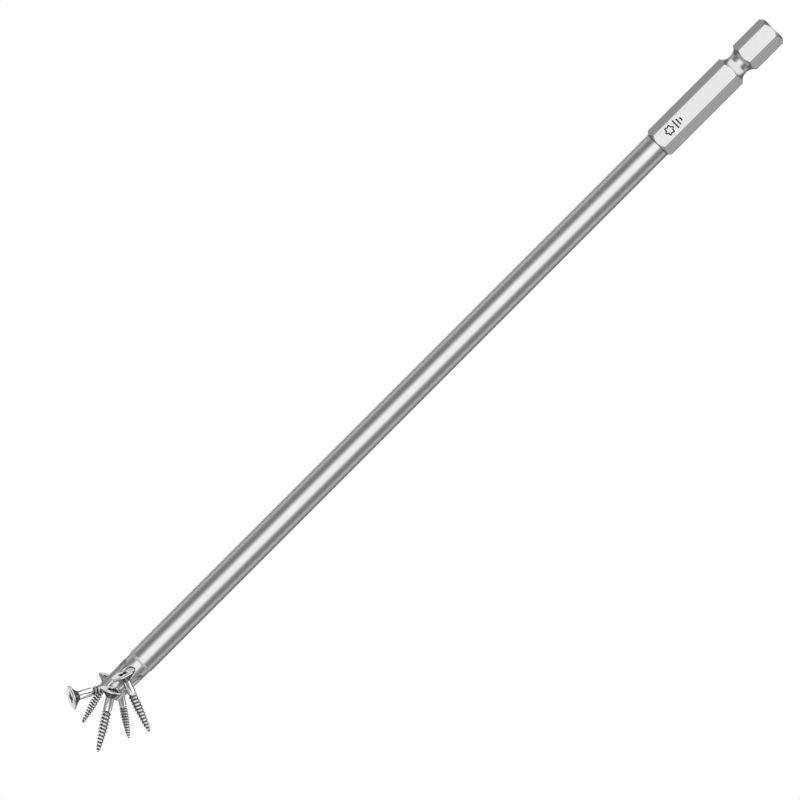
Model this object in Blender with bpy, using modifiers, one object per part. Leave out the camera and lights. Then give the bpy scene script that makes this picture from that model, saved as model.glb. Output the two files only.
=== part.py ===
"""A long magnetised six-lobe driver bit with a hexagonal drive shank, holding five small countersunk screws.

The bit's axis is Z. The origin is the centre of the shank's end face and the tip points down, so the
screws cling around Z = -TOTAL_LENGTH. One flat of the hexagon and one flute of the tip face -Y.
"""

import math

import bmesh
import bpy
from mathutils import Matrix, Vector

MM = 0.001

# The bit, in metres.
TOTAL_LENGTH = 200.0 * MM
HEX_ACROSS_FLATS = 6.35 * MM
HEX_ROUND_RADIUS = 3.60 * MM
HEX_LENGTH = 34.7 * MM
HEX_END_CHAMFER = (0.57 * MM, 0.445 * MM)
SHANK_END_CHAMFER = (0.75 * MM, 0.80 * MM)
GROOVE_CENTRE = 10.7 * MM
GROOVE_BOTTOM_RADIUS = 2.45 * MM
GROOVE_ARC_RADIUS = 2.4 * MM
SHAFT_RADIUS = 3.0 * MM
SHAFT_FILLET = 0.14 * MM
NECK_LENGTH = 9.46 * MM
NECK_RADIUS = 2.83 * MM
SHOULDER_CHAMFER = (0.55 * MM, 0.15 * MM)
OVERLAP = 1.5 * MM
SEGMENTS = 72

# The six-lobe tip, size 30.
LOBES = 6
LOBE_ACROSS = 5.60 * MM
VALLEY_ACROSS = 3.95 * MM
LOBE_ARC = 0.45 * MM
FLUTE_FULL = 5.5 * MM
FLUTE_END = 8.1 * MM
TIP_FACE_RADIUS = 1.75 * MM
TIP_CHAMFER_SLOPE = 1.31

# The large screw; a small one is the same shape, scaled.
SCREW_LENGTH = 14.0 * MM
HEAD_RADIUS = 2.60 * MM
HEAD_RIM = 0.20 * MM
HEAD_CONE_SLOPE = 0.82
SCREW_SHANK_RADIUS = 0.95 * MM
SCREW_SHANK_LENGTH = 4.75 * MM
CREST_RADIUS = 1.10 * MM
CORE_RADIUS = 0.78 * MM
THREAD_PITCH = 0.77 * MM
THREAD_TAPER = 6.0 * MM
THREAD_POINT_CURVE = 0.38
RECESS_HALF_WIDTH = 1.20 * MM
RECESS_FLOOR_HALF_WIDTH = 0.50 * MM
RECESS_HALF_SLOT = 0.45 * MM
RECESS_FLOOR_HALF_SLOT = 0.24 * MM
RECESS_CORNER = 0.20 * MM
RECESS_DEPTH = 1.35 * MM
SCREW_SEGMENTS = 24
THREAD_SEGMENTS = 12

# The screws cling around the bit in a cluster that is turned this far about Z from the hexagon's flats.
CLUSTER_TURN = 5.0

# Where each screw clings, before that turn: length in mm, the middle of its head's face as (x, y, height
# above the tip) in mm, its lean away from +X towards -Z in degrees, its lean away from the XZ plane, and
# its spin about its own axis.
SCREWS = {
    "screw_left": (14.2, (-5.05, 1.60, -6.10), -61.4, 15.5, 12.0),
    "screw_left_small": (11.7, (-2.47, 7.36, 2.35), 74.7, 18.0, 30.0),
    "screw_lower_left": (14.0, (-0.12, -5.05, 1.40), 57.9, 13.0, 35.0),
    "screw_lower_small": (11.6, (1.00, 4.85, 2.48), 34.7, 23.0, 25.0),
    "screw_lower_right": (14.0, (-0.82, -5.10, 5.40), 20.4, 15.0, 50.0),
}


def clear_scene():
    for obj in list(bpy.data.objects):
        bpy.data.objects.remove(obj, do_unlink=True)


def collection(name):
    made = bpy.data.collections.new(name)
    bpy.context.scene.collection.children.link(made)
    return made


def material(name, colour, roughness):
    made = bpy.data.materials.new(name)
    made.use_nodes = True
    shader = made.node_tree.nodes["Principled BSDF"]
    shader.inputs["Base Color"].default_value = (*colour, 1.0)
    shader.inputs["Metallic"].default_value = 1.0
    shader.inputs["Roughness"].default_value = roughness
    return made


def place(name, mesh, group, helper=False):
    obj = bpy.data.objects.new(name, mesh)
    group.objects.link(obj)
    if helper:
        obj.hide_render = True
        obj.display_type = "WIRE"
    return obj


def profile_mesh(name, points):
    """An open outline in the XZ plane from (radius, z) points, for a Screw modifier."""
    mesh = bpy.data.meshes.new(name)
    edges = [(i, i + 1) for i in range(len(points) - 1)]
    mesh.from_pydata([(radius, 0.0, z) for radius, z in points], edges, [])
    return mesh


def turned(name, points, group, segments):
    """A solid of revolution about Z; the outline runs from the top of the axis down its outer side."""
    obj = place(name, profile_mesh(name, points), group, helper=True)
    screw = obj.modifiers.new("Turn", "SCREW")
    screw.axis = "Z"
    screw.steps = segments
    screw.render_steps = segments
    screw.use_merge_vertices = True
    screw.merge_threshold = 1e-6
    return obj


def boolean(obj, other, operation):
    modifier = obj.modifiers.new(operation.title() + " " + other.name, "BOOLEAN")
    modifier.operation = operation
    modifier.solver = "EXACT"
    modifier.object = other
    return modifier


def shade(mesh, angle):
    mesh.shade_smooth()
    mesh.set_sharp_from_angle(angle=math.radians(angle))


def face_outwards(work):
    """Turns every face of a closed solid outwards."""
    bmesh.ops.recalc_face_normals(work, faces=work.faces)
    if work.calc_volume(signed=True) < 0:
        bmesh.ops.reverse_faces(work, faces=work.faces)


def settled_mesh(obj, name):
    """The evaluated mesh of obj with its coincident points welded."""
    bpy.context.view_layer.update()
    evaluated = obj.evaluated_get(bpy.context.evaluated_depsgraph_get())
    mesh = bpy.data.meshes.new_from_object(evaluated)
    mesh.name = name
    work = bmesh.new()
    work.from_mesh(mesh)
    bmesh.ops.remove_doubles(work, verts=work.verts, dist=1e-7)
    bmesh.ops.dissolve_degenerate(work, edges=work.edges, dist=1e-7)
    face_outwards(work)
    work.to_mesh(mesh)
    work.free()
    return mesh


def loft(name, rings):
    """A closed solid through rings of points, listed from the top ring to the bottom one."""
    work = bmesh.new()
    loops = [[work.verts.new(point) for point in ring] for ring in rings]
    for upper, lower in zip(loops, loops[1:]):
        for i in range(len(upper)):
            j = (i + 1) % len(upper)
            work.faces.new((upper[i], lower[i], lower[j], upper[j]))
    work.faces.new(loops[0])
    work.faces.new(list(reversed(loops[-1])))
    face_outwards(work)
    mesh = bpy.data.meshes.new(name)
    work.to_mesh(mesh)
    work.free()
    return mesh


def lobe_radius(angle):
    """The six-lobe outline's radius: convex arcs at 0, 60, 120... degrees joined by tangent concave arcs."""
    lobe_centre = LOBE_ACROSS / 2 - LOBE_ARC
    half = math.pi / LOBES
    # The concave arc's radius v makes it tangent to the lobes and leaves VALLEY_ACROSS between opposite valleys.
    valley = VALLEY_ACROSS / 2
    a = lobe_centre
    v = (LOBE_ARC**2 - a * a - valley**2 + 2 * a * valley * math.cos(half)) / (
        2 * (valley - a * math.cos(half) - LOBE_ARC)
    )
    b = valley + v
    reach = math.hypot(b * math.cos(half) - a, b * math.sin(half))
    touch_x = a + (b * math.cos(half) - a) / reach * LOBE_ARC
    touch_y = b * math.sin(half) / reach * LOBE_ARC
    turn = abs((angle + half) % (2 * half) - half)
    if turn <= math.atan2(touch_y, touch_x):
        return a * math.cos(turn) + math.sqrt(LOBE_ARC**2 - (a * math.sin(turn)) ** 2)
    away = half - turn
    return b * math.cos(away) - math.sqrt(v * v - (b * math.sin(away)) ** 2)


def tip_radius(angle, height):
    """Radius of the fluted tip at a height above its end face."""
    run_out = max(0.0, (height - FLUTE_FULL) / (FLUTE_END - FLUTE_FULL))
    radius = min(NECK_RADIUS, lobe_radius(angle) + 0.9 * MM * run_out**2)
    return min(radius, TIP_FACE_RADIUS + TIP_CHAMFER_SLOPE * height)


def tip_heights():
    """The tip's rings, closest together where the flutes run out and where the end is chamfered."""
    chamfer = (LOBE_ACROSS / 2 - TIP_FACE_RADIUS) / TIP_CHAMFER_SLOPE
    low = [chamfer * i / 4 for i in range(5)]
    run_out = [FLUTE_FULL + (FLUTE_END - FLUTE_FULL) * i / 7 for i in range(8)]
    return low + run_out + [NECK_LENGTH + OVERLAP]


def shank_profile():
    """Envelope that rounds the hexagon's corners, chamfers both its ends and cuts the ball groove."""
    axial, radial = SHANK_END_CHAMFER
    low_axial, low_radial = HEX_END_CHAMFER
    drop = HEX_ROUND_RADIUS - GROOVE_BOTTOM_RADIUS
    half = math.acos(1 - drop / GROOVE_ARC_RADIUS)
    arc = []
    for i in range(9):
        turn = half * (1 - i / 4)
        radius = GROOVE_BOTTOM_RADIUS + GROOVE_ARC_RADIUS * (1 - math.cos(turn))
        arc.append((radius, -GROOVE_CENTRE + GROOVE_ARC_RADIUS * math.sin(turn)))
    return (
        [(0.0, 0.0), (HEX_ROUND_RADIUS - radial, 0.0), (HEX_ROUND_RADIUS, -axial)]
        + arc
        + [
            (HEX_ROUND_RADIUS, -HEX_LENGTH + low_axial),
            (HEX_ROUND_RADIUS - low_radial, -HEX_LENGTH),
            (0.0, -HEX_LENGTH),
        ]
    )


def shaft_profile():
    bottom = -TOTAL_LENGTH + NECK_LENGTH
    axial, radial = SHOULDER_CHAMFER
    return [
        (0.0, -HEX_LENGTH + OVERLAP),
        (SHAFT_RADIUS + SHAFT_FILLET, -HEX_LENGTH + OVERLAP),
        (SHAFT_RADIUS + SHAFT_FILLET, -HEX_LENGTH),
        (SHAFT_RADIUS + SHAFT_FILLET * 0.3, -HEX_LENGTH - SHAFT_FILLET * 0.4),
        (SHAFT_RADIUS, -HEX_LENGTH - SHAFT_FILLET),
        (SHAFT_RADIUS, bottom + axial),
        (SHAFT_RADIUS - radial, bottom),
        (0.0, bottom),
    ]


def hex_prism(group):
    """The hexagonal bar, corners on +X and -X, flats facing +Y and -Y, standing proud of both shank ends."""
    spare = 1.0 * MM
    corner = HEX_ACROSS_FLATS / math.sqrt(3)
    turns = [math.radians(60 * i) for i in range(6)]
    rings = [
        [(corner * math.cos(turn), corner * math.sin(turn), z) for turn in turns]
        for z in (spare, -HEX_LENGTH - spare)
    ]
    return place("hex_bar", loft("hex_bar", rings), group, helper=True)


def make_bit(parts, cutters):
    envelope = turned("shank_envelope", shank_profile(), cutters, SEGMENTS)
    shaft = turned("shaft_body", shaft_profile(), cutters, SEGMENTS)
    rings = []
    for height in reversed(tip_heights()):
        ring = []
        for i in range(SEGMENTS):
            angle = 2 * math.pi * i / SEGMENTS
            radius = tip_radius(angle, height)
            ring.append((radius * math.cos(angle), radius * math.sin(angle), height - TOTAL_LENGTH))
        rings.append(ring)
    tip = place("fluted_tip", loft("fluted_tip", rings), cutters, helper=True)
    bar = hex_prism(cutters)
    boolean(bar, envelope, "INTERSECT")
    boolean(bar, shaft, "UNION")
    boolean(bar, tip, "UNION")
    mesh = settled_mesh(bar, "driver_bit")
    shade(mesh, 28)
    mesh.materials.append(material("satin_tool_steel", (0.62, 0.62, 0.63), 0.28))
    return place("driver_bit", mesh, parts)


def thread_mesh():
    """The threaded stretch: one pitch of its outline swept by a Screw modifier, then tapered to the point."""
    turns = math.ceil((SCREW_LENGTH - SCREW_SHANK_LENGTH) / THREAD_PITCH) + 1
    top = -SCREW_SHANK_LENGTH + 0.4 * MM
    outline = [
        (CORE_RADIUS, top),
        (CORE_RADIUS, top - 0.30 * THREAD_PITCH),
        (CREST_RADIUS, top - 0.72 * THREAD_PITCH),
        (CORE_RADIUS, top - THREAD_PITCH),
    ]
    obj = place("thread_outline", profile_mesh("thread_outline", outline), bpy.context.scene.collection)
    screw = obj.modifiers.new("Thread", "SCREW")
    screw.axis = "Z"
    screw.steps = THREAD_SEGMENTS
    screw.render_steps = THREAD_SEGMENTS
    screw.screw_offset = -THREAD_PITCH
    screw.iterations = turns
    screw.use_merge_vertices = True
    screw.merge_threshold = 1e-6
    mesh = settled_mesh(obj, "thread")
    bpy.data.objects.remove(obj, do_unlink=True)
    work = bmesh.new()
    work.from_mesh(mesh)
    below = [vert for vert in work.verts if vert.co.z < -SCREW_LENGTH + 0.02 * MM]
    bmesh.ops.delete(work, geom=below, context="VERTS")
    for vert in work.verts:
        left = (vert.co.z + SCREW_LENGTH) / THREAD_TAPER
        if left < 1:
            scale = max(0.003, left) ** THREAD_POINT_CURVE
            vert.co.x *= scale
            vert.co.y *= scale
    open_edges = [edge for edge in work.edges if edge.is_boundary]
    bmesh.ops.holes_fill(work, edges=open_edges, sides=0)
    bmesh.ops.triangulate(work, faces=[face for face in work.faces if len(face.verts) > 4])
    face_outwards(work)
    work.to_mesh(mesh)
    work.free()
    return mesh


def recess_mesh():
    """The cross recess: a plus-shaped prism that narrows towards its floor."""
    spare = 0.2
    rings = []
    for level in (-spare, 1.0):
        half = RECESS_HALF_WIDTH + (RECESS_FLOOR_HALF_WIDTH - RECESS_HALF_WIDTH) * level
        slot = RECESS_HALF_SLOT + (RECESS_FLOOR_HALF_SLOT - RECESS_HALF_SLOT) * level
        ring = []
        for arm in range(4):
            turn = Matrix.Rotation(arm * math.pi / 2, 3, "Z")
            inner = slot + RECESS_CORNER
            for x, y in ((half, -slot), (half, slot), (inner, slot), (slot, inner)):
                ring.append(turn @ Vector((x, y, -RECESS_DEPTH * level)))
        rings.append(ring)
    return loft("recess", rings)


def screw_mesh(cutters):
    """A countersunk screw of SCREW_LENGTH along -Z, with the middle of its head's face at the origin."""
    cone = HEAD_RADIUS - SCREW_SHANK_RADIUS
    height = cone * HEAD_CONE_SLOPE
    blank = turned(
        "screw_blank",
        [
            (0.0, 0.0),
            (HEAD_RADIUS - 0.08 * MM, 0.0),
            (HEAD_RADIUS, -0.08 * MM),
            (HEAD_RADIUS, -HEAD_RIM),
            (SCREW_SHANK_RADIUS + 0.12 * cone, -HEAD_RIM - 0.88 * height),
            (SCREW_SHANK_RADIUS, -HEAD_RIM - 1.15 * height),
            (SCREW_SHANK_RADIUS, -SCREW_SHANK_LENGTH + 0.15 * MM),
            (CORE_RADIUS - 0.05 * MM, -SCREW_SHANK_LENGTH),
            (0.0, -SCREW_SHANK_LENGTH),
        ],
        cutters,
        SCREW_SEGMENTS,
    )
    thread = place("screw_thread", thread_mesh(), cutters, helper=True)
    recess = place("screw_recess", recess_mesh(), cutters, helper=True)
    boolean(blank, thread, "UNION")
    boolean(blank, recess, "DIFFERENCE")
    mesh = settled_mesh(blank, "countersunk_screw")
    shade(mesh, 35)
    mesh.materials.append(material("bright_zinc", (0.78, 0.78, 0.80), 0.20))
    return mesh


def screw_pose(centre, lean, away, spin):
    """The matrix that puts a screw's head at centre and points its tip along lean and away."""
    lean, away = math.radians(lean), math.radians(away)
    point = Vector(
        (math.cos(lean) * math.cos(away), math.sin(away), -math.sin(lean) * math.cos(away))
    )
    turn = (-point).to_track_quat("Z", "Y").to_matrix().to_4x4()
    x, y, height = (value * MM for value in centre)
    where = Matrix.Translation((x, y, height - TOTAL_LENGTH))
    cluster = Matrix.Rotation(math.radians(CLUSTER_TURN), 4, "Z")
    return cluster @ where @ turn @ Matrix.Rotation(math.radians(spin), 4, "Z")


def make_screws(parts, cutters):
    mesh = screw_mesh(cutters)
    for name, (length, centre, lean, away, spin) in SCREWS.items():
        sized = mesh.copy()
        sized.name = name
        sized.transform(Matrix.Scale(length * MM / SCREW_LENGTH, 4))
        obj = place(name, sized, parts)
        obj.matrix_world = screw_pose(centre, lean, away, spin)


def main():
    clear_scene()
    parts = collection("magnetised_driver_bit")
    cutters = collection("cutters")
    make_bit(parts, cutters)
    make_screws(parts, cutters)


main()
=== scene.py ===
"""Looks for the magnetised driver bit and the five countersunk screws that cling to its tip.

Every length is in metres in the row's frame: the bit's axis is Z, its shank's end face is at Z = 0, its tip
points down, and one flat of the hexagon faces -Y.
"""

import math

import bmesh
import bpy
import numpy as np
from mathutils import Matrix, Vector


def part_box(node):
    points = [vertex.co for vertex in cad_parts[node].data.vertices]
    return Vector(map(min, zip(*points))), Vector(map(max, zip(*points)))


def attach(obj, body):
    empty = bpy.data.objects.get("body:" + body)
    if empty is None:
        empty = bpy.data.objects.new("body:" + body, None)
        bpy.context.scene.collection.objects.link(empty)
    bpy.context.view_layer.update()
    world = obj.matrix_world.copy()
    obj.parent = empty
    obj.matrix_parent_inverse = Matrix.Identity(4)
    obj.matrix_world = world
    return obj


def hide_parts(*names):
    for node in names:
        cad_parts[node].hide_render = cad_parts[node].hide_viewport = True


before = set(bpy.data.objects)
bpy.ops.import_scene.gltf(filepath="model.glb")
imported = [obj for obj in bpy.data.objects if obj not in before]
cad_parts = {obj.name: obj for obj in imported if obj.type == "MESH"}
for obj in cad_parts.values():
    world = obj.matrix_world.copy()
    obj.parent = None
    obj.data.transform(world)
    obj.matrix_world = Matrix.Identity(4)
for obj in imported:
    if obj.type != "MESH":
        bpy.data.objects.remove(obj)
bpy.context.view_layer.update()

MM = 0.001

# The bit, whose length and widths come from its CAD node.
BIT_LOW, BIT_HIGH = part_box("driver_bit")
TIP_Z = BIT_LOW.z
ROUND_RADIUS = (BIT_HIGH.x - BIT_LOW.x) / 2
ACROSS_FLATS = BIT_HIGH.y - BIT_LOW.y
HEX_LENGTH = 34.7 * MM
HEX_END_CHAMFER = (0.57 * MM, 0.445 * MM)
SHANK_END_CHAMFER = (0.75 * MM, 0.80 * MM)
GROOVE_CENTRE = 10.7 * MM
GROOVE_BOTTOM_RADIUS = 2.45 * MM
GROOVE_ARC_RADIUS = 2.4 * MM
SHAFT_RADIUS = 3.0 * MM
SHAFT_FILLET = 0.14 * MM
NECK_LENGTH = 9.46 * MM
NECK_RADIUS = 2.83 * MM
SHOULDER_CHAMFER = (0.55 * MM, 0.15 * MM)
OVERLAP = 1.5 * MM
BIT_SEGMENTS = 192
GROOVE_STEPS = 20
FILLET_STEPS = 6
EDGE_ROUND = 0.035 * MM
# An edge is one that turns by more than this many degrees.
BIT_EDGE_ANGLE = 24
SCREW_EDGE_ANGLE = 40
# Higher values give the hexagon flatter flats and sharper long edges.
HEX_SHARPNESS = 44
HEX_SIDE_POINTS = 20
# Powers above 1 draw the points of a hexagon's side towards its corner.
HEX_CROWDING = 1.5
HEX_SPARE = 1.0 * MM

# The six-lobe tip, size 30.
LOBES = 6
LOBE_ACROSS = 5.60 * MM
VALLEY_ACROSS = 3.95 * MM
LOBE_ARC = 0.45 * MM
FLUTE_FULL = 5.5 * MM
FLUTE_END = 8.1 * MM
FLUTE_RISE = 0.9 * MM
TIP_FACE_RADIUS = 1.75 * MM
TIP_CHAMFER_SLOPE = 1.31
TIP_SOFTNESS = 0.07 * MM
CHAMFER_RINGS = 14
RUN_OUT_RINGS = 34

# A screw, as shares of its length: the sizes are those of a screw this many millimetres long.
PATTERN_LENGTH = 14
HEAD_RADIUS = 2.60 / PATTERN_LENGTH
HEAD_RIM = 0.20 / PATTERN_LENGTH
HEAD_CONE_SLOPE = 0.82
# The countersink is straight over the first share of its way in to the shank, and then bends down, by the
# second share at most.
HEAD_STRAIGHT = 0.78
HEAD_FILLET = 0.14
HEAD_EDGE = 0.08 / PATTERN_LENGTH
SHANK_RADIUS = 0.95 / PATTERN_LENGTH
SHANK_LENGTH = 4.75 / PATTERN_LENGTH
SHANK_END_BEVEL = 0.15 / PATTERN_LENGTH
CREST_RADIUS = 1.10 / PATTERN_LENGTH
CORE_RADIUS = 0.78 / PATTERN_LENGTH
# The shank ends just inside the thread's core.
SHANK_CORE_RADIUS = CORE_RADIUS - 0.05 / PATTERN_LENGTH
# The crest's place along one pitch, the reach of its flanks, how they curve, and how high its blunt top is.
CREST_PLACE = 0.62
FLANK_REACH = 0.36
FLANK_CURVE = 1.25
CREST_TOP = 0.93
THREAD_PITCH = 0.77 / PATTERN_LENGTH
# The sleeve starts THREAD_INSET up inside the shank. Its ridge starts to grow THREAD_BEGIN above the shank's
# end and has its full height THREAD_START further on.
THREAD_INSET = 0.4 / PATTERN_LENGTH
THREAD_BEGIN = 0.1 / PATTERN_LENGTH
THREAD_START = 0.55 / PATTERN_LENGTH
# Over the taper the radius falls as a power of the share of it that is left, which never gets below
# POINT_BLUNT, and POINT_CUT is taken off the end.
THREAD_TAPER = 6.0 / PATTERN_LENGTH
THREAD_POINT_CURVE = 0.38
POINT_BLUNT = 0.003
POINT_CUT = 0.02 / PATTERN_LENGTH
RECESS_HALF_WIDTH = 1.20 / PATTERN_LENGTH
RECESS_FLOOR_HALF_WIDTH = 0.50 / PATTERN_LENGTH
RECESS_HALF_SLOT = 0.45 / PATTERN_LENGTH
RECESS_FLOOR_HALF_SLOT = 0.24 / PATTERN_LENGTH
RECESS_CORNER = 0.20 / PATTERN_LENGTH
RECESS_DEPTH = 1.35 / PATTERN_LENGTH
HEAD_SEGMENTS = 96
HEAD_EDGE_STEPS = 4
HEAD_FILLET_STEPS = 5
THREAD_SEGMENTS = 48
THREAD_RING_POINTS = 10
# How much painted shade, dark and dull, a recess and the underside of a head get, as shares of the thread's
# deepest root.
RECESS_PAINTED_SHADE = 1.1
UNDER_HEAD_PAINTED_SHADE = 0.85

# The mark on the front flat: a six-lobe outline, then three bars across the flat.
MARK_X = -0.1 * MM
MARK_Z = -30.9 * MM
MARK_RADIUS = 0.86 * MM
MARK_WAVE = 0.15 * MM
MARK_STROKE = 0.18 * MM
MARK_BAR_START = 1.80 * MM
MARK_BAR_PITCH = 0.80 * MM
MARK_BAR_HALVES = (1.10 * MM, 0.78 * MM, 0.46 * MM)
MARK_EDGE = 0.03 * MM

# The camera looks at the tool from a little off the hexagon's flat, rolled so that the tool runs up to the
# right.
VIEW_TURN = math.radians(5)
VIEW_ROLL = math.radians(45)
VIEW_WIDTH = 170 * MM
VIEW_MIDDLE = (-0.35 * MM, -111.9 * MM)
LENS = 1000
SENSOR = 36


# ---------------------------------------------------------------- mesh helpers

# Points closer together than this are one point.
WELD = 1e-7


def object_from(name, mesh):
    obj = bpy.data.objects.new(name, mesh)
    bpy.context.scene.collection.objects.link(obj)
    return obj


def face_outwards(work):
    bmesh.ops.recalc_face_normals(work, faces=work.faces)
    if work.calc_volume(signed=True) < 0:
        bmesh.ops.reverse_faces(work, faces=work.faces)


def mesh_from(work, name):
    mesh = bpy.data.meshes.new(name)
    work.to_mesh(mesh)
    work.free()
    return mesh


def settled(obj):
    """The object's evaluated mesh, with its coincident points welded; the object itself is removed."""
    bpy.context.view_layer.update()
    evaluated = obj.evaluated_get(bpy.context.evaluated_depsgraph_get())
    mesh = bpy.data.meshes.new_from_object(evaluated)
    bpy.data.objects.remove(obj, do_unlink=True)
    work = bmesh.new()
    work.from_mesh(mesh)
    bmesh.ops.remove_doubles(work, verts=work.verts, dist=WELD)
    bmesh.ops.dissolve_degenerate(work, edges=work.edges, dist=WELD)
    face_outwards(work)
    work.to_mesh(mesh)
    work.free()
    return mesh


def outline_object(name, points):
    """An open outline of (radius, z) points in the XZ plane."""
    mesh = bpy.data.meshes.new(name)
    edges = [(i, i + 1) for i in range(len(points) - 1)]
    mesh.from_pydata([(radius, 0.0, z) for radius, z in points], edges, [])
    return object_from(name, mesh)


def turned(name, points, segments):
    """A solid of revolution about Z; its outline runs from the top of the axis down its outer side."""
    obj = outline_object(name, points)
    screw = obj.modifiers.new("Turn", "SCREW")
    screw.axis = "Z"
    screw.steps = segments
    screw.render_steps = segments
    screw.use_merge_vertices = True
    screw.merge_threshold = WELD
    return object_from(name, settled(obj))


def loft(name, rings):
    """A closed solid through rings of points, listed from the top ring to the bottom one."""
    work = bmesh.new()
    loops = [[work.verts.new(point) for point in ring] for ring in rings]
    for upper, lower in zip(loops, loops[1:]):
        for i in range(len(upper)):
            j = (i + 1) % len(upper)
            work.faces.new((upper[i], lower[i], lower[j], upper[j]))
    work.faces.new(loops[0])
    work.faces.new(list(reversed(loops[-1])))
    face_outwards(work)
    return object_from(name, mesh_from(work, name))


def combine(obj, other, operation):
    """The object that a Boolean makes of the two given, which are both removed."""
    modifier = obj.modifiers.new(operation.title(), "BOOLEAN")
    modifier.operation = operation
    modifier.solver = "EXACT"
    modifier.object = other
    name = obj.name
    made = object_from(name, settled(obj))
    bpy.data.objects.remove(other, do_unlink=True)
    return made


def soften_edges(obj, width, angle):
    """Rounds every edge that turns by more than an angle in degrees."""
    bevel = obj.modifiers.new("Edge round", "BEVEL")
    bevel.width = width
    bevel.segments = 2
    bevel.limit_method = "ANGLE"
    bevel.angle_limit = math.radians(angle)
    bevel.use_clamp_overlap = True
    bevel.miter_outer = "MITER_ARC"


def shade(mesh, angle):
    """Smooth shading, broken at edges that turn by more than an angle in degrees."""
    mesh.shade_smooth()
    mesh.set_sharp_from_angle(angle=math.radians(angle))


def spread_between(start, end, steps):
    """Evenly spaced values from start to end, both included."""
    return [start + (end - start) * i / steps for i in range(steps + 1)]


# ---------------------------------------------------------------- the bit


def lobe_radius(angle):
    """The six-lobe outline's radius: lobes at 0, 60, 120... degrees joined by tangent hollow arcs."""
    half = math.pi / LOBES
    lobe = LOBE_ACROSS / 2 - LOBE_ARC
    valley = VALLEY_ACROSS / 2
    hollow_arc = (LOBE_ARC**2 - lobe * lobe - valley**2 + 2 * lobe * valley * math.cos(half)) / (
        2 * (valley - lobe * math.cos(half) - LOBE_ARC)
    )
    hollow = valley + hollow_arc
    # The arcs touch on the line from the lobe's centre to the hollow's.
    reach = math.hypot(hollow * math.cos(half) - lobe, hollow * math.sin(half))
    touch_x = lobe + (hollow * math.cos(half) - lobe) / reach * LOBE_ARC
    touch_y = hollow * math.sin(half) / reach * LOBE_ARC
    turn = abs((angle + half) % (2 * half) - half)
    if turn <= math.atan2(touch_y, touch_x):
        return lobe * math.cos(turn) + math.sqrt(LOBE_ARC**2 - (lobe * math.sin(turn)) ** 2)
    away = half - turn
    return hollow * math.cos(away) - math.sqrt(hollow_arc * hollow_arc - (hollow * math.sin(away)) ** 2)


def soft_min(first, second, width):
    """The smaller value, with the corner where they cross rounded off over width."""
    near = max(width - abs(first - second), 0.0) / width
    return min(first, second) - near * near * width / 4


def tip_radius(angle, height):
    """Radius of the fluted tip at a height above its end face."""
    run_out = max(0.0, (height - FLUTE_FULL) / (FLUTE_END - FLUTE_FULL))
    fluted = lobe_radius(angle) + FLUTE_RISE * run_out**2
    radius = soft_min(NECK_RADIUS, fluted, TIP_SOFTNESS)
    return soft_min(radius, TIP_FACE_RADIUS + TIP_CHAMFER_SLOPE * height, TIP_SOFTNESS)


def fluted_tip():
    """The six-lobe tip and the neck above it, with rings close together where the shape changes."""
    chamfer = (LOBE_ACROSS / 2 - TIP_FACE_RADIUS) / TIP_CHAMFER_SLOPE
    heights = spread_between(0.0, chamfer * 1.1, CHAMFER_RINGS)
    heights += spread_between(FLUTE_FULL - 0.1 * MM, FLUTE_END + 0.4 * MM, RUN_OUT_RINGS)
    heights.append(NECK_LENGTH + OVERLAP)
    rings = []
    for height in reversed(heights):
        ring = []
        for i in range(BIT_SEGMENTS):
            angle = 2 * math.pi * i / BIT_SEGMENTS
            radius = tip_radius(angle, height)
            ring.append((radius * math.cos(angle), radius * math.sin(angle), TIP_Z + height))
        rings.append(ring)
    return loft("fluted_tip", rings)


def shank_envelope():
    """A turned solid that rounds the hexagon's corners, chamfers both its ends and cuts the ball groove."""
    axial, radial = SHANK_END_CHAMFER
    low_axial, low_radial = HEX_END_CHAMFER
    drop = ROUND_RADIUS - GROOVE_BOTTOM_RADIUS
    half = math.acos(1 - drop / GROOVE_ARC_RADIUS)
    groove = []
    for turn in spread_between(half, -half, GROOVE_STEPS):
        radius = GROOVE_BOTTOM_RADIUS + GROOVE_ARC_RADIUS * (1 - math.cos(turn))
        groove.append((radius, -GROOVE_CENTRE + GROOVE_ARC_RADIUS * math.sin(turn)))
    points = [(0.0, 0.0), (ROUND_RADIUS - radial, 0.0), (ROUND_RADIUS, -axial)]
    points += groove
    points += [
        (ROUND_RADIUS, -HEX_LENGTH + low_axial),
        (ROUND_RADIUS - low_radial, -HEX_LENGTH),
        (0.0, -HEX_LENGTH),
    ]
    return turned("shank_envelope", points, BIT_SEGMENTS)


def hex_radius(angle):
    """A hexagon's radius, corners at 0, 60, 120... degrees, with round edges and faintly crowned flats."""
    facings = [math.cos(angle - math.radians(30 + 60 * i)) for i in range(3)]
    total = sum(abs(facing) ** HEX_SHARPNESS for facing in facings)
    return ACROSS_FLATS / 2 * total ** (-1 / HEX_SHARPNESS)


def hex_bar():
    """The hexagonal bar, standing proud of both shank ends, its points closest together round its edges."""
    outline = []
    for corner in range(6):
        for i in range(-HEX_SIDE_POINTS, HEX_SIDE_POINTS):
            away = math.copysign(abs(i / HEX_SIDE_POINTS) ** HEX_CROWDING, i)
            turn = math.radians(60 * corner + 30 * away)
            radius = hex_radius(turn)
            outline.append((radius * math.cos(turn), radius * math.sin(turn)))
    rings = [[(x, y, z) for x, y in outline] for z in (HEX_SPARE, -HEX_LENGTH - HEX_SPARE)]
    return loft("hex_bar", rings)


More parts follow.
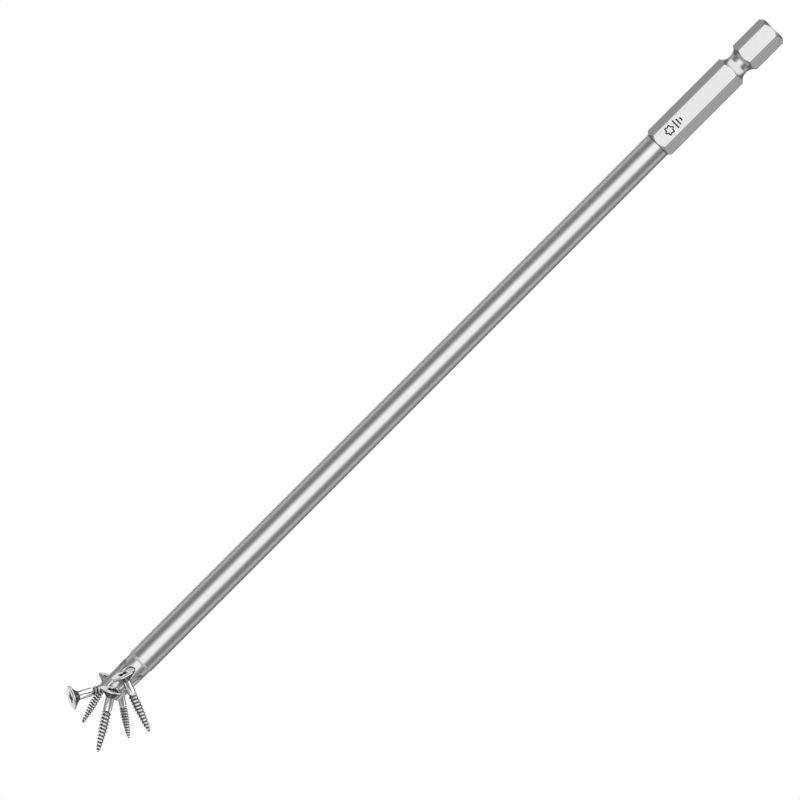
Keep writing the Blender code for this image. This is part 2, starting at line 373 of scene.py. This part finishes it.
def round_shaft():
    """The round shaft, with a fillet up to the hexagon and a chamfered shoulder above the neck."""
    bottom = TIP_Z + NECK_LENGTH
    axial, radial = SHOULDER_CHAMFER
    points = [(0.0, -HEX_LENGTH + OVERLAP), (SHAFT_RADIUS + SHAFT_FILLET, -HEX_LENGTH + OVERLAP)]
    for turn in spread_between(0.0, math.pi / 2, FILLET_STEPS):
        radius = SHAFT_RADIUS + SHAFT_FILLET * (1 - math.sin(turn))
        points.append((radius, -HEX_LENGTH - SHAFT_FILLET * (1 - math.cos(turn))))
    points += [(SHAFT_RADIUS, bottom + axial), (SHAFT_RADIUS - radial, bottom), (0.0, bottom)]
    return turned("round_shaft", points, BIT_SEGMENTS)


def make_bit(finish):
    """The bit in one piece, which stands for its CAD node."""
    bit = combine(hex_bar(), shank_envelope(), "INTERSECT")
    bit = combine(bit, round_shaft(), "UNION")
    bit = combine(bit, fluted_tip(), "UNION")
    bit.name = "steel_bit"
    shade(bit.data, BIT_EDGE_ANGLE)
    soften_edges(bit, EDGE_ROUND, BIT_EDGE_ANGLE)
    bit.data.materials.append(finish)
    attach(bit, "bit")
    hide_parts("driver_bit")


# ---------------------------------------------------------------- the screws

# Welds for the thread: neighbouring turns meet within rounding, which is coarsest at the far end.
SWEEP_WELD = 1e-6
TURNS_WELD = 1e-5


def point_taper(z):
    """How much of its full radius the thread keeps at a height on the unit screw."""
    return min(1.0, max(POINT_BLUNT, (z + 1) / THREAD_TAPER)) ** THREAD_POINT_CURVE


def swept_thread():
    """One pitch of the thread's outline swept by a Screw modifier, straight past the screw's point."""
    turns = math.ceil((1 - SHANK_LENGTH) / THREAD_PITCH) + 1
    top = -SHANK_LENGTH + THREAD_INSET
    outline = []
    for i in range(THREAD_RING_POINTS + 1):
        along = i / THREAD_RING_POINTS
        ridge = max(0.0, 1 - abs(along - CREST_PLACE) / FLANK_REACH)
        height = min(ridge**FLANK_CURVE, CREST_TOP)
        outline.append((CORE_RADIUS + (CREST_RADIUS - CORE_RADIUS) * height, top - along * THREAD_PITCH))
    obj = outline_object("thread", outline)
    screw = obj.modifiers.new("Thread", "SCREW")
    screw.axis = "Z"
    screw.steps = THREAD_SEGMENTS
    screw.render_steps = THREAD_SEGMENTS
    screw.screw_offset = -THREAD_PITCH
    screw.iterations = turns
    screw.use_merge_vertices = True
    screw.merge_threshold = SWEEP_WELD
    return settled(obj)


def thread_sleeve():
    """The thread as a closed solid, run out at the shank and drawn to a point."""
    mesh = swept_thread()
    work = bmesh.new()
    work.from_mesh(mesh)
    bmesh.ops.remove_doubles(work, verts=work.verts, dist=TURNS_WELD)
    below = [vert for vert in work.verts if vert.co.z < -1 + POINT_CUT]
    bmesh.ops.delete(work, geom=below, context="VERTS")
    for vert in work.verts:
        radius = math.hypot(vert.co.x, vert.co.y)
        grown = min(1.0, max(0.0, (-SHANK_LENGTH + THREAD_BEGIN - vert.co.z) / THREAD_START))
        wanted = (CORE_RADIUS + (radius - CORE_RADIUS) * grown) * point_taper(vert.co.z)
        vert.co.x *= wanted / radius
        vert.co.y *= wanted / radius
    open_edges = [edge for edge in work.edges if edge.is_boundary]
    bmesh.ops.holes_fill(work, edges=open_edges, sides=0)
    bmesh.ops.triangulate(work, faces=[face for face in work.faces if len(face.verts) > 4])
    face_outwards(work)
    work.to_mesh(mesh)
    work.free()
    return object_from("thread", mesh)


def cross_recess():
    """A plus-shaped prism, from above the head's face down to the recess's narrower floor."""
    rings = []
    for level in (-0.2, 1.0):
        half = RECESS_HALF_WIDTH + (RECESS_FLOOR_HALF_WIDTH - RECESS_HALF_WIDTH) * level
        slot = RECESS_HALF_SLOT + (RECESS_FLOOR_HALF_SLOT - RECESS_HALF_SLOT) * level
        ring = []
        for arm in range(4):
            turn = Matrix.Rotation(arm * math.pi / 2, 3, "Z")
            inner = slot + RECESS_CORNER
            for x, y in ((half, -slot), (half, slot), (inner, slot), (slot, inner)):
                ring.append(turn @ Vector((x, y, -RECESS_DEPTH * level)))
        rings.append(ring)
    return loft("recess", rings)


def screw_blank():
    """The turned head and plain shank: a rounded rim, a wide countersink and a fillet under the head."""
    points = [(0.0, 0.0)]
    for turn in spread_between(0.0, math.pi / 2, HEAD_EDGE_STEPS):
        radius = HEAD_RADIUS - HEAD_EDGE * (1 - math.sin(turn))
        points.append((radius, -HEAD_EDGE * (1 - math.cos(turn))))
    points.append((HEAD_RADIUS, -HEAD_RIM))
    fall = HEAD_RADIUS - SHANK_RADIUS
    for along in spread_between(HEAD_STRAIGHT, 1.0, HEAD_FILLET_STEPS):
        bend = (along - HEAD_STRAIGHT) / (1 - HEAD_STRAIGHT)
        depth = HEAD_RIM + HEAD_CONE_SLOPE * fall * (along + HEAD_FILLET * bend * bend)
        points.append((HEAD_RADIUS - fall * along, -depth))
    points += [
        (SHANK_RADIUS, -SHANK_LENGTH + SHANK_END_BEVEL),
        (SHANK_CORE_RADIUS, -SHANK_LENGTH),
        (0.0, -SHANK_LENGTH),
    ]
    return turned("screw", points, HEAD_SEGMENTS)


def thread_root_depth(co):
    """How deep a point of the unit screw lies in a root of the thread, from 0 to 1."""
    if co.z > -SHANK_LENGTH:
        return 0.0
    depth = CREST_RADIUS - math.hypot(co.x, co.y) / point_taper(co.z)
    return min(1.0, max(0.0, depth / (CREST_RADIUS - CORE_RADIUS)))


def in_recess(centre):
    """Whether a face of the unit screw with this centre is a wall or the floor of the recess."""
    # At each height the recess's walls lie well inside the countersink.
    cone = HEAD_RADIUS + min(0.0, centre.z + HEAD_RIM) / HEAD_CONE_SLOPE
    clear_of_cone = math.hypot(centre.x, centre.y) < min(RECESS_HALF_WIDTH, cone - 0.01)
    below_face = centre.z < -0.001
    above_floor = centre.z > -1.01 * RECESS_DEPTH
    return clear_of_cone and below_face and above_floor


def under_head(centre):
    """Whether a face of the unit screw with this centre belongs to the countersink below the rim."""
    cone_end = -HEAD_RIM - (1 + HEAD_FILLET) * HEAD_CONE_SLOPE * (HEAD_RADIUS - SHANK_RADIUS)
    return cone_end < centre.z < -HEAD_RIM


def mark_painted_shade(mesh):
    """Stores, for the material, how much painted shade each corner of a face gets."""
    painted_shade = mesh.attributes.new("painted_shade", "FLOAT", "CORNER")
    for face in mesh.polygons:
        # Painted shade: recess walls and floor, the underside of the head and the thread's roots are marked
        # to be darkened.
        walled = in_recess(face.center)
        covered = under_head(face.center)
        for corner in face.loop_indices:
            if walled:
                value = RECESS_PAINTED_SHADE
            elif covered:
                value = UNDER_HEAD_PAINTED_SHADE
            else:
                value = thread_root_depth(mesh.vertices[mesh.loops[corner].vertex_index].co)
            painted_shade.data[corner].value = value


def screw_mesh():
    """A countersunk screw of unit length along -Z, with the middle of its head's face at the origin."""
    screw = combine(screw_blank(), thread_sleeve(), "UNION")
    screw = combine(screw, cross_recess(), "DIFFERENCE")
    mesh = screw.data
    bpy.data.objects.remove(screw, do_unlink=True)
    shade(mesh, SCREW_EDGE_ANGLE)
    mark_painted_shade(mesh)
    return mesh


def node_points(node):
    """The distinct points of a CAD node's mesh."""
    points = {tuple(round(value, 6) for value in vert.co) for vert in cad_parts[node].data.vertices}
    return np.array(sorted(points))


def along_and_off(points, middle, axis):
    """How far each point lies along an axis through middle, and how far off it."""
    along = (points - middle) @ axis
    return along, np.linalg.norm(points - middle - np.outer(along, axis), axis=1)


def screw_axis(points):
    """The middle of a CAD screw's rim, and its axis from the point to the head."""
    middle = points.mean(axis=0)
    axis = np.linalg.svd(points - middle, full_matrices=False)[2][0]
    along, off = along_and_off(points, middle, axis)
    axis *= np.sign(along[off.argmax()])
    for _ in range(5):
        along, off = along_and_off(points, middle, axis)
        size = along.max() - along.min()
        # The rim is what is widest near the head's face, and the end is the last sliver of the point.
        rim = points[(off > 0.85 * off.max()) & (along > along.max() - 0.1 * size)]
        end = points[along < along.min() + 0.004 * size]
        middle = (rim.min(axis=0) + rim.max(axis=0)) / 2
        axis = middle - end.mean(axis=0)
        axis /= np.linalg.norm(axis)
    return middle, axis


def recess_arm(points, face, axis, length):
    """The direction of one arm of a CAD screw's recess, from the recess's outer corners on the face."""
    side = axis.orthogonal().normalized()
    other = axis.cross(side)
    corner = math.hypot(RECESS_HALF_WIDTH, RECESS_HALF_SLOT) * length
    total = 0j
    for co in points:
        offset = Vector(co) - face
        flat = complex(offset.dot(side), offset.dot(other))
        if abs(offset.dot(axis)) < 0.004 * length and abs(abs(flat) - corner) < 0.01 * length:
            # The fourth power turns the four arms onto each other.
            total += (flat / abs(flat)) ** 4
    spin = math.atan2(total.imag, total.real) / 4
    return side * math.cos(spin) + other * math.sin(spin)


def screw_place(node):
    """The matrix that puts the unit screw in the place of a CAD screw, read off the node's mesh."""
    points = node_points(node)
    middle, axis = screw_axis(points)
    along = (points - middle) @ axis
    length = along.max() - along.min()
    face = Vector(middle + axis * along.max())
    axis = Vector(axis)
    across = recess_arm(points, face, axis, length)
    turn = Matrix((across, axis.cross(across), axis)).transposed().to_4x4()
    return Matrix.Translation(face) @ turn @ Matrix.Scale(length, 4)


def make_screws(finish):
    """A finely threaded screw in the place of each CAD screw."""
    shape = screw_mesh()
    for node in sorted(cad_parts):
        if not node.startswith("screw"):
            continue
        mesh = shape.copy()
        mesh.transform(screw_place(node))
        mesh.materials.append(finish)
        screw = object_from("zinc_" + node, mesh)
        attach(screw, node)
        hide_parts(node)


# ---------------------------------------------------------------- materials

STEEL_BRIGHT = (0.76, 0.76, 0.765, 1)
STEEL_IN_LINES = (0.69, 0.69, 0.70, 1)
STEEL_CLOUDS = (0.68, 0.68, 0.69, 1)
STEEL_ON_HEX = (0.62, 0.62, 0.625, 1)
# Painted shade for the corner where the shaft meets the hexagon.
PAINTED_CORNER_SHADE = (0.22, 0.22, 0.22, 1)
MARK_TONE = (0.05, 0.05, 0.05, 1)
ZINC_BRIGHT = (0.93, 0.93, 0.94, 1)
ZINC_CLOUDS = (0.84, 0.84, 0.86, 1)
# Painted shade for thread roots, recesses and the undersides of heads.
ZINC_PAINTED_SHADE = (0.03, 0.03, 0.03, 1)

# Noise scales, in cells to the metre along X, Y and Z, or in every direction.
RING_CELLS = (150, 150, 9000)
LINE_CELLS = (7000, 7000, 220)
STEEL_CLOUD_CELLS = 260.0
ZINC_CLOUD_CELLS = 1400.0
ZINC_GRAIN_CELLS = 9000.0

# Roughness from one end of a noise to the other, and what is added to it in some places.
STEEL_ROUGHNESS = (0.20, 0.26)
CLOUD_ROUGHNESS = (-0.02, 0.02)
SHOULDER_EXTRA = 0.35
MARK_EXTRA = 0.25
ZINC_ROUGHNESS = (0.07, 0.13)
PAINTED_SHADE_ROUGHNESS = 0.15

# Distances at which a finish or the painted corner shade starts to show and shows in full.
PAINTED_CORNER_SHADE_REACH = (0.16 * MM, 0.06 * MM)
SHOULDER_REACH = (0.36 * MM, 0.26 * MM)
HEX_BLEND = 0.1 * MM

# Painted shade on the zinc: where it starts to darken and is darkest, how much the grain sways that, and the
# darkest share.
PAINTED_SHADE_RANGE = (0.45, 1.05)
PAINTED_SHADE_SWAY = 0.3
PAINTED_SHADE_SHARE = 0.92


class Nodes:
    """Short forms for adding and linking shader nodes."""

    def __init__(self, tree):
        self.tree = tree

    def add(self, kind, **settings):
        node = self.tree.nodes.new(kind)
        for name, value in settings.items():
            setattr(node, name, value)
        return node

    def link(self, source, target):
        self.tree.links.new(source, target)

    def feed(self, socket, value):
        if isinstance(value, bpy.types.NodeSocket):
            self.link(value, socket)
        else:
            socket.default_value = value

    def math(self, operation, *values):
        node = self.add("ShaderNodeMath", operation=operation)
        for socket, value in zip(node.inputs, values):
            self.feed(socket, value)
        return node.outputs[0]

    def noise(self, vector, scale, detail=3.0, roughness=0.55):
        node = self.add("ShaderNodeTexNoise")
        self.link(vector, node.inputs["Vector"])
        node.inputs["Scale"].default_value = scale
        node.inputs["Detail"].default_value = detail
        node.inputs["Roughness"].default_value = roughness
        return node.outputs["Fac"]

    def stretch(self, vector, scale):
        node = self.add("ShaderNodeMapping")
        self.link(vector, node.inputs["Vector"])
        node.inputs["Scale"].default_value = scale
        return node.outputs["Vector"]

    def split(self, vector):
        node = self.add("ShaderNodeSeparateXYZ")
        self.link(vector, node.inputs[0])
        return node.outputs

    def dot(self, vector, fixed):
        node = self.add("ShaderNodeVectorMath", operation="DOT_PRODUCT")
        self.link(vector, node.inputs[0])
        node.inputs[1].default_value = fixed
        return node.outputs["Value"]

    def rise(self, value, start, end):
        """0 up to start, 1 from end on, and a smooth step between; start may be the larger."""
        node = self.add("ShaderNodeMapRange", interpolation_type="SMOOTHSTEP")
        self.link(value, node.inputs["Value"])
        node.inputs["From Min"].default_value = min(start, end)
        node.inputs["From Max"].default_value = max(start, end)
        node.inputs["To Min"].default_value = 0.0 if start < end else 1.0
        node.inputs["To Max"].default_value = 1.0 if start < end else 0.0
        return node.outputs["Result"]

    def span(self, value, low, high):
        """Maps 0.3 to 0.7 onto low to high."""
        node = self.add("ShaderNodeMapRange")
        self.link(value, node.inputs["Value"])
        node.inputs["From Min"].default_value = 0.3
        node.inputs["From Max"].default_value = 0.7
        node.inputs["To Min"].default_value = low
        node.inputs["To Max"].default_value = high
        return node.outputs["Result"]

    def mix(self, factor, first, second):
        node = self.add("ShaderNodeMix", data_type="RGBA")
        self.feed(node.inputs["Factor"], factor)
        self.feed(node.inputs["A"], first)
        self.feed(node.inputs["B"], second)
        return node.outputs["Result"]

    def bump(self, height, distance, strength):
        node = self.add("ShaderNodeBump")
        self.link(height, node.inputs["Height"])
        node.inputs["Distance"].default_value = distance
        node.inputs["Strength"].default_value = strength
        return node.outputs["Normal"]


def new_material(name):
    """A bare metal, with its shader and the short forms for its nodes."""
    made = bpy.data.materials.new(name)
    made.use_nodes = True
    shader = made.node_tree.nodes["Principled BSDF"]
    shader.inputs["Metallic"].default_value = 1.0
    return made, shader, Nodes(made.node_tree)


def drive_mark(nodes, place):
    """A mask for the mark etched on the hexagon's front flat: a six-lobe outline, three shortening bars."""
    x, y, z = place
    across = nodes.math("SUBTRACT", x, MARK_X)
    along = nodes.math("SUBTRACT", z, MARK_Z)
    squares = [nodes.math("POWER", part, 2) for part in (across, along)]
    reach = nodes.math("SQRT", nodes.math("ADD", *squares))
    wave = nodes.math("COSINE", nodes.math("MULTIPLY", nodes.math("ARCTAN2", across, along), LOBES))
    outline = nodes.math("MULTIPLY_ADD", wave, MARK_WAVE, MARK_RADIUS)
    strokes = [nodes.math("ABSOLUTE", nodes.math("SUBTRACT", reach, outline))]
    for i, half in enumerate(MARK_BAR_HALVES):
        offset = nodes.math("ABSOLUTE", nodes.math("SUBTRACT", along, MARK_BAR_START + i * MARK_BAR_PITCH))
        beyond = nodes.math("SUBTRACT", nodes.math("ABSOLUTE", across), half - MARK_STROKE)
        strokes.append(nodes.math("MAXIMUM", offset, beyond))
    nearest = strokes[0]
    for stroke in strokes[1:]:
        nearest = nodes.math("MINIMUM", nearest, stroke)
    on_flat = nodes.math("LESS_THAN", y, 0.1 * MM - ACROSS_FLATS / 2)
    inked = nodes.rise(nearest, MARK_STROKE + MARK_EDGE, MARK_STROKE - MARK_EDGE)
    return nodes.math("MULTIPLY", inked, on_flat)


def steel_finish():
    """Satin tool steel: grinding rings round the shaft, drawn lines along the hexagon, the etched mark, and
    painted shade in the corner where the shaft meets the hexagon.
    """
    made, shader, nodes = new_material("satin_tool_steel")
    where = nodes.add("ShaderNodeTexCoord").outputs["Object"]
    place = nodes.split(where)
    height = place["Z"]
    on_hex = nodes.rise(height, -HEX_LENGTH - HEX_BLEND, -HEX_LENGTH + HEX_BLEND)
    rings = nodes.noise(nodes.stretch(where, RING_CELLS), 1.0)
    drawn = nodes.noise(nodes.stretch(where, LINE_CELLS), 1.0)
    lines = nodes.math(
        "ADD",
        nodes.math("MULTIPLY", drawn, on_hex),
        nodes.math("MULTIPLY", rings, nodes.math("SUBTRACT", 1.0, on_hex)),
    )
    cloud = nodes.noise(where, STEEL_CLOUD_CELLS, 4.0)
    tone = nodes.mix(nodes.span(lines, 0.0, 1.0), STEEL_IN_LINES, STEEL_BRIGHT)
    tone = nodes.mix(nodes.span(cloud, 0.0, 0.3), tone, STEEL_CLOUDS)
    tone = nodes.mix(nodes.math("MULTIPLY", on_hex, 0.5), tone, STEEL_ON_HEX)
    # Painted shade darkens the corner where the shaft meets the hexagon.
    corner = nodes.math("ABSOLUTE", nodes.math("ADD", height, HEX_LENGTH + PAINTED_CORNER_SHADE_REACH[0]))
    tone = nodes.mix(nodes.rise(corner, *PAINTED_CORNER_SHADE_REACH), tone, PAINTED_CORNER_SHADE)
    mark = drive_mark(nodes, (place["X"], place["Y"], height))
    tone = nodes.mix(mark, tone, MARK_TONE)
    nodes.link(tone, shader.inputs["Base Color"])
    rough = nodes.math("ADD", nodes.span(lines, *STEEL_ROUGHNESS), nodes.span(cloud, *CLOUD_ROUGHNESS))
    # The shoulder above the neck is turned more coarsely than the shaft is ground.
    shoulder = TIP_Z + NECK_LENGTH + SHOULDER_CHAMFER[0] / 2
    off_shoulder = nodes.math("ABSOLUTE", nodes.math("SUBTRACT", height, shoulder))
    coarse = nodes.rise(off_shoulder, *SHOULDER_REACH)
    rough = nodes.math("MULTIPLY_ADD", mark, MARK_EXTRA, rough)
    rough = nodes.math("MULTIPLY_ADD", coarse, SHOULDER_EXTRA, rough)
    nodes.link(rough, shader.inputs["Roughness"])
    nodes.link(nodes.bump(lines, 0.0015 * MM, 0.3), shader.inputs["Normal"])
    return made


def zinc_finish():
    """Bright zinc plate, a little cloudy, with painted shade, dark and dull, in thread roots, in recesses
    and under heads.
    """
    made, shader, nodes = new_material("bright_zinc")
    where = nodes.add("ShaderNodeTexCoord").outputs["Object"]
    painted_shade = nodes.add("ShaderNodeAttribute", attribute_name="painted_shade").outputs["Fac"]
    cloud = nodes.noise(where, ZINC_CLOUD_CELLS, 4.0)
    grain = nodes.noise(where, ZINC_GRAIN_CELLS, 2.0)
    swayed = nodes.math("MULTIPLY_ADD", nodes.math("SUBTRACT", grain, 0.5), PAINTED_SHADE_SWAY, painted_shade)
    shade_amount = nodes.rise(swayed, *PAINTED_SHADE_RANGE)
    tone = nodes.mix(nodes.span(cloud, 0.0, 1.0), ZINC_CLOUDS, ZINC_BRIGHT)
    # Painted shade darkens the zinc where the attribute says so.
    tone = nodes.mix(nodes.math("MULTIPLY", shade_amount, PAINTED_SHADE_SHARE), tone, ZINC_PAINTED_SHADE)
    nodes.link(tone, shader.inputs["Base Color"])
    rough = nodes.math("MULTIPLY_ADD", shade_amount, PAINTED_SHADE_ROUGHNESS, nodes.span(grain, *ZINC_ROUGHNESS))
    nodes.link(rough, shader.inputs["Roughness"])
    nodes.link(nodes.bump(grain, 0.002 * MM, 0.2), shader.inputs["Normal"])
    return made


# ---------------------------------------------------------------- studio


def turned_about_z(x, y, z):
    """A direction or place in the view's own frame, turned into the row's."""
    return Matrix.Rotation(VIEW_TURN, 3, "Z") @ Vector((x, y, z))


def make_camera():
    """A long lens square to the tool's axis, rolled so that the tool lies along the frame's diagonal."""
    back = turned_about_z(0, -1, 0)
    right = turned_about_z(math.cos(VIEW_ROLL), 0, math.sin(VIEW_ROLL))
    up = turned_about_z(-math.sin(VIEW_ROLL), 0, math.cos(VIEW_ROLL))
    distance = VIEW_WIDTH * LENS / SENSOR
    middle_x, middle_z = VIEW_MIDDLE
    place = Matrix((right, up, back)).transposed().to_4x4()
    place.translation = turned_about_z(middle_x, 0, middle_z) + back * distance
    lens = bpy.data.cameras.new("camera")
    lens.lens = LENS
    lens.sensor_width = SENSOR
    lens.clip_start = 0.01
    camera = object_from("camera", lens)
    camera.matrix_world = place
    bpy.context.scene.camera = camera


# What a reflection sees, by its angle in degrees round the tool's axis from the camera's side: a long
# softbox in the middle, then towards each side a dark gap, a grey wall and a second gap, and a strip of
# light straight behind the tool.
SOFTBOX = [(0, 1.24), (21, 1.23), (33, 0.64), (45, 0.29), (60, 0.22)]
UPPER_WALL = [(76, 0.26), (90, 0.46), (104, 0.60), (116, 0.48), (130, 0.38), (142, 0.20)]
LOWER_WALL = [(76, 0.27), (90, 0.50), (102, 0.64), (110, 0.48), (121, 0.32), (142, 0.18)]
BACK_WALL = [(160, 0.20), (172, 0.62), (180, 0.75)]
# On one side of that strip there is a second softbox.
BACK_SOFTBOX = 0.80
# What it sees on the camera's side, well beyond the shank and well beyond the tip.
SHANK_END_LIGHT = 1.15
TIP_END_LIGHT = 0.45
# The walls stop before both ends, and beyond them there is this.
BEYOND_WALLS = 0.16
# What lights diffuse surfaces, and what the camera sees behind the tool.
DIFFUSE_LIGHT = (0.82, 0.82, 0.83, 1)
BACKDROP = (1, 1, 1, 1)

# Where those parts of the studio begin and end, as shares of a direction: how far it points at the camera
# (TOWARDS), to the left of the tool (BESIDE) or along the tool (ALONG). The first value is where a part
# starts to show and the second is where it shows in full.
FRONT_TOWARDS = (-0.30, -0.05)
BEYOND_WALLS_ALONG = (0.30, 0.45)
BEYOND_WALLS_TOWARDS = (0.1, -0.05)
BACK_SOFTBOX_TOWARDS = (-0.77, -0.83)
BACK_SOFTBOX_BESIDE = (0.08, 0.20)
SHANK_END_ALONG = (0.08, 0.24)
TIP_END_ALONG = (-0.60, -0.85)


def grey(value):
    return (value, value, value, 1)


def studio_ramp(nodes, turn):
    """The colours round the tool, by the share of a full turn from straight behind it."""
    ramp = nodes.add("ShaderNodeValToRGB")
    nodes.link(turn, ramp.inputs["Fac"])
    ramp.color_ramp.interpolation = "EASE"
    points = [(-degrees, value) for degrees, value in reversed(SOFTBOX[1:] + LOWER_WALL + BACK_WALL)]
    points += SOFTBOX + UPPER_WALL + BACK_WALL
    stops = ramp.color_ramp.elements
    while len(stops) < len(points):
        stops.new(0.5)
    for stop, (degrees, value) in zip(stops, points):
        stop.position = 0.5 + degrees / 360
        stop.color = grey(value)
    return ramp.outputs["Color"]


def make_world():
    """The studio that the metal reflects, an even light for diffuse surfaces and a white backdrop."""
    world = bpy.data.worlds.new("studio")
    world.use_nodes = True
    bpy.context.scene.world = world
    nodes = Nodes(world.node_tree)
    background = world.node_tree.nodes["Background"]
    direction = nodes.add("ShaderNodeTexCoord").outputs["Generated"]
    towards = nodes.dot(direction, turned_about_z(0, -1, 0))
    beside = nodes.dot(direction, turned_about_z(-1, 0, 0))
    along = nodes.split(direction)["Z"]
    turn = nodes.math("MULTIPLY_ADD", nodes.math("ARCTAN2", beside, towards), 0.5 / math.pi, 0.5)
    in_front = nodes.rise(towards, *FRONT_TOWARDS)
    either_way = nodes.math("ABSOLUTE", along)
    past_walls = nodes.math(
        "MULTIPLY",
        nodes.rise(either_way, *BEYOND_WALLS_ALONG),
        nodes.rise(towards, *BEYOND_WALLS_TOWARDS),
    )
    back_box = nodes.math(
        "MULTIPLY",
        nodes.rise(towards, *BACK_SOFTBOX_TOWARDS),
        nodes.rise(beside, *BACK_SOFTBOX_BESIDE),
    )
    seen = nodes.mix(past_walls, studio_ramp(nodes, turn), grey(BEYOND_WALLS))
    seen = nodes.mix(back_box, seen, grey(BACK_SOFTBOX))
    shank_box = nodes.math("MULTIPLY", nodes.rise(along, *SHANK_END_ALONG), in_front)
    seen = nodes.mix(shank_box, seen, grey(SHANK_END_LIGHT))
    tip_box = nodes.math("MULTIPLY", nodes.rise(along, *TIP_END_ALONG), in_front)
    seen = nodes.mix(tip_box, seen, grey(TIP_END_LIGHT))
    path = nodes.add("ShaderNodeLightPath")
    seen = nodes.mix(path.outputs["Is Diffuse Ray"], seen, DIFFUSE_LIGHT)
    seen = nodes.mix(path.outputs["Is Camera Ray"], seen, BACKDROP)
    nodes.link(seen, background.inputs["Color"])


FLOOR_RADIUS = 0.42
FLOOR_DROP = 0.09
FLOOR_TONE = (0.93, 0.93, 0.93, 1)
FLOOR_SEGMENTS = 128
# The floor starts to fade at this share of its radius.
FLOOR_FADE = 0.25
LAMP_SIZE = 0.35
LAMP_POWER = 1.2
LAMP_PLACE = (-0.10, -0.12, 0.35)


def make_floor():
    """A pale round floor under the hanging tool, fading into the backdrop at its rim, clear from below."""
    work = bmesh.new()
    bmesh.ops.create_circle(work, cap_ends=True, segments=FLOOR_SEGMENTS, radius=FLOOR_RADIUS)
    floor = object_from("floor", mesh_from(work, "floor"))
    floor.location.z = TIP_Z - FLOOR_DROP
    floor.visible_glossy = False
    made = bpy.data.materials.new("pale_floor")
    made.use_nodes = True
    nodes = Nodes(made.node_tree)
    shader = made.node_tree.nodes["Principled BSDF"]
    shader.inputs["Base Color"].default_value = FLOOR_TONE
    shader.inputs["Roughness"].default_value = 0.8
    shader.inputs["Specular IOR Level"].default_value = 0.0
    length = nodes.add("ShaderNodeVectorMath", operation="LENGTH")
    nodes.link(nodes.add("ShaderNodeTexCoord").outputs["Object"], length.inputs[0])
    fade = nodes.add("ShaderNodeMapRange", interpolation_type="SMOOTHSTEP")
    nodes.link(length.outputs["Value"], fade.inputs["Value"])
    fade.inputs["From Min"].default_value = FLOOR_FADE * FLOOR_RADIUS
    fade.inputs["From Max"].default_value = FLOOR_RADIUS
    glow = nodes.add("ShaderNodeEmission")
    blend = nodes.add("ShaderNodeMixShader")
    nodes.link(fade.outputs["Result"], blend.inputs["Fac"])
    nodes.link(shader.outputs["BSDF"], blend.inputs[1])
    nodes.link(glow.outputs["Emission"], blend.inputs[2])
    clear = nodes.add("ShaderNodeMixShader")
    nodes.link(nodes.add("ShaderNodeNewGeometry").outputs["Backfacing"], clear.inputs["Fac"])
    nodes.link(blend.outputs["Shader"], clear.inputs[1])
    nodes.link(nodes.add("ShaderNodeBsdfTransparent").outputs["BSDF"], clear.inputs[2])
    nodes.link(clear.outputs["Shader"], made.node_tree.nodes["Material Output"].inputs["Surface"])
    floor.data.materials.append(made)


def make_light():
    """One large soft lamp above, for a gentle shadow on the floor."""
    lamp = bpy.data.lights.new("overhead", "AREA")
    lamp.shape = "DISK"
    lamp.size = LAMP_SIZE
    lamp.energy = LAMP_POWER
    light = object_from("overhead", lamp)
    light.location = LAMP_PLACE
    away_from_tip = light.location - Vector((0, 0, TIP_Z))
    light.rotation_euler = away_from_tip.to_track_quat("Z", "Y").to_euler()
    light.visible_glossy = False


make_bit(steel_finish())
make_screws(zinc_finish())
make_camera()
make_world()
make_floor()
make_light()
bpy.context.scene.view_settings.view_transform = "Standard"
